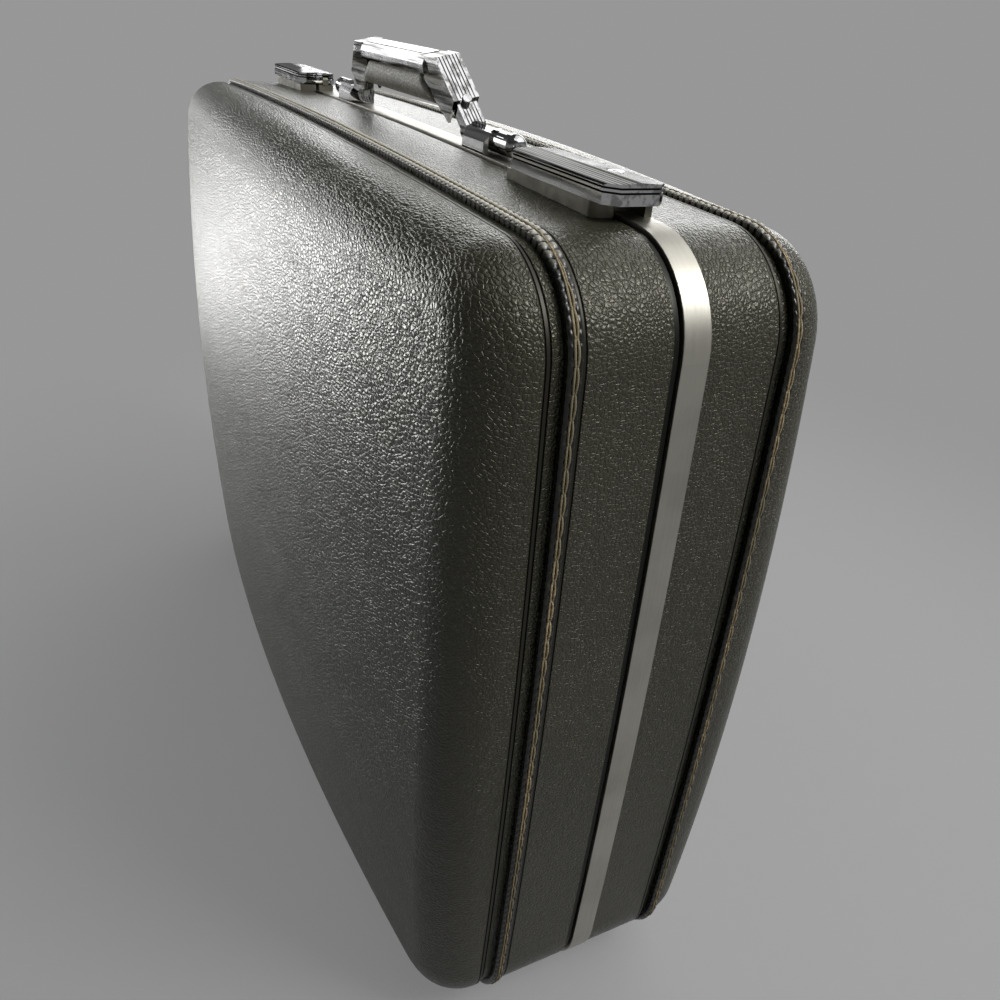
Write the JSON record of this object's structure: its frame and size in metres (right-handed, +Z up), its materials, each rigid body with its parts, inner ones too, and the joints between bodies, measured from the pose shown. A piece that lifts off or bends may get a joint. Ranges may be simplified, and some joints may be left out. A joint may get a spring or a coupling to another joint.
{
  "type": "hard-shell suitcase",
  "caption": "Vinyl-covered hard-shell suitcase with domed faces, a metal strip at the parting line, flip latches and a folding metal-topped handle.",
  "frame": {"origin": "centre of the bounding box at its bottom, level with the underside of the four feet", "axes": "+X along the case and its handle, +Y from the lid face to the back, +Z up towards the handle"},
  "size_m": [0.6628, 0.2229, 0.5153],
  "materials": {
    "vinyl": "embossed, semi-gloss",
    "welt_vinyl": "smooth, satin",
    "strip": "brushed satin",
    "rail": "black anodised, satin",
    "chrome": "polished",
    "dark_steel": "satin",
    "steel": "satin",
    "inlay": "satin",
    "grip_vinyl": "padded, embossed",
    "lining": "woven, matte"
  },
  "bodies": {
    "base": {"base_back_panel": "vinyl", "base_side_band": "vinyl", "base_welt": "welt_vinyl", "base_frame_rail": "strip", "base_lining": "lining", "base_feet": "steel", "base_hinge_leaves": "steel", "hinge_pins": "steel", "right_latch_bed": "dark_steel", "left_latch_bed": "dark_steel", "right_latch_pin": "steel", "left_latch_pin": "steel", "right_handle_post": "chrome", "left_handle_post": "chrome", "right_post_cap": "chrome", "left_post_cap": "chrome"},
    "lid": {"lid_front_panel": "vinyl", "lid_side_band": "vinyl", "lid_welt": "welt_vinyl", "lid_frame_rail": "rail", "lid_lining": "lining", "lid_feet": "steel", "lid_hinge_leaves": "steel", "right_catch_plate": "dark_steel", "left_catch_plate": "dark_steel"},
    "right_latch": {"right_latch_cover": "chrome"},
    "left_latch": {"left_latch_cover": "chrome"},
    "right_key": {"right_key_plug": "chrome"},
    "left_key": {"left_key_plug": "chrome"},
    "handle": {"right_link": "chrome", "left_link": "chrome", "right_arm_sleeve": "chrome", "left_arm_sleeve": "chrome", "right_boss": "chrome", "left_boss": "chrome", "right_pivot_pin": "steel", "left_pivot_pin": "steel", "handle_top_frame": "chrome", "handle_inlay": "inlay", "handle_grip": "grip_vinyl"}
  },
  "joints": [
    {"name": "lid_hinge", "type": "hinge", "parent": "base", "child": "lid", "pos_m": [0, 0.0019, 0.0054], "axis": [1, 0, 0], "range_deg": [0, 105]},
    {"name": "right_latch_hinge", "type": "hinge", "parent": "base", "child": "right_latch", "pos_m": [0.1933, 0.009, 0.4768], "axis": [0, -1, 0], "range_deg": [0, 85]},
    {"name": "left_latch_hinge", "type": "hinge", "parent": "base", "child": "left_latch", "pos_m": [-0.1933, 0.009, 0.4768], "axis": [0, 1, 0], "range_deg": [0, 85]},
    {"name": "right_key_turn", "type": "hinge", "parent": "right_latch", "child": "right_key", "pos_m": [0.251, 0.0095, 0.481], "axis": [0, 0, 1], "range_deg": [0, 90]},
    {"name": "left_key_turn", "type": "hinge", "parent": "left_latch", "child": "left_key", "pos_m": [-0.251, 0.0095, 0.481], "axis": [0, 0, -1], "range_deg": [0, 90]},
    {"name": "handle_fold", "type": "hinge", "parent": "base", "child": "handle", "pos_m": [0, 0.0121, 0.477], "axis": [1, 0, 0], "range_deg": [-75, 51]}
  ]
}
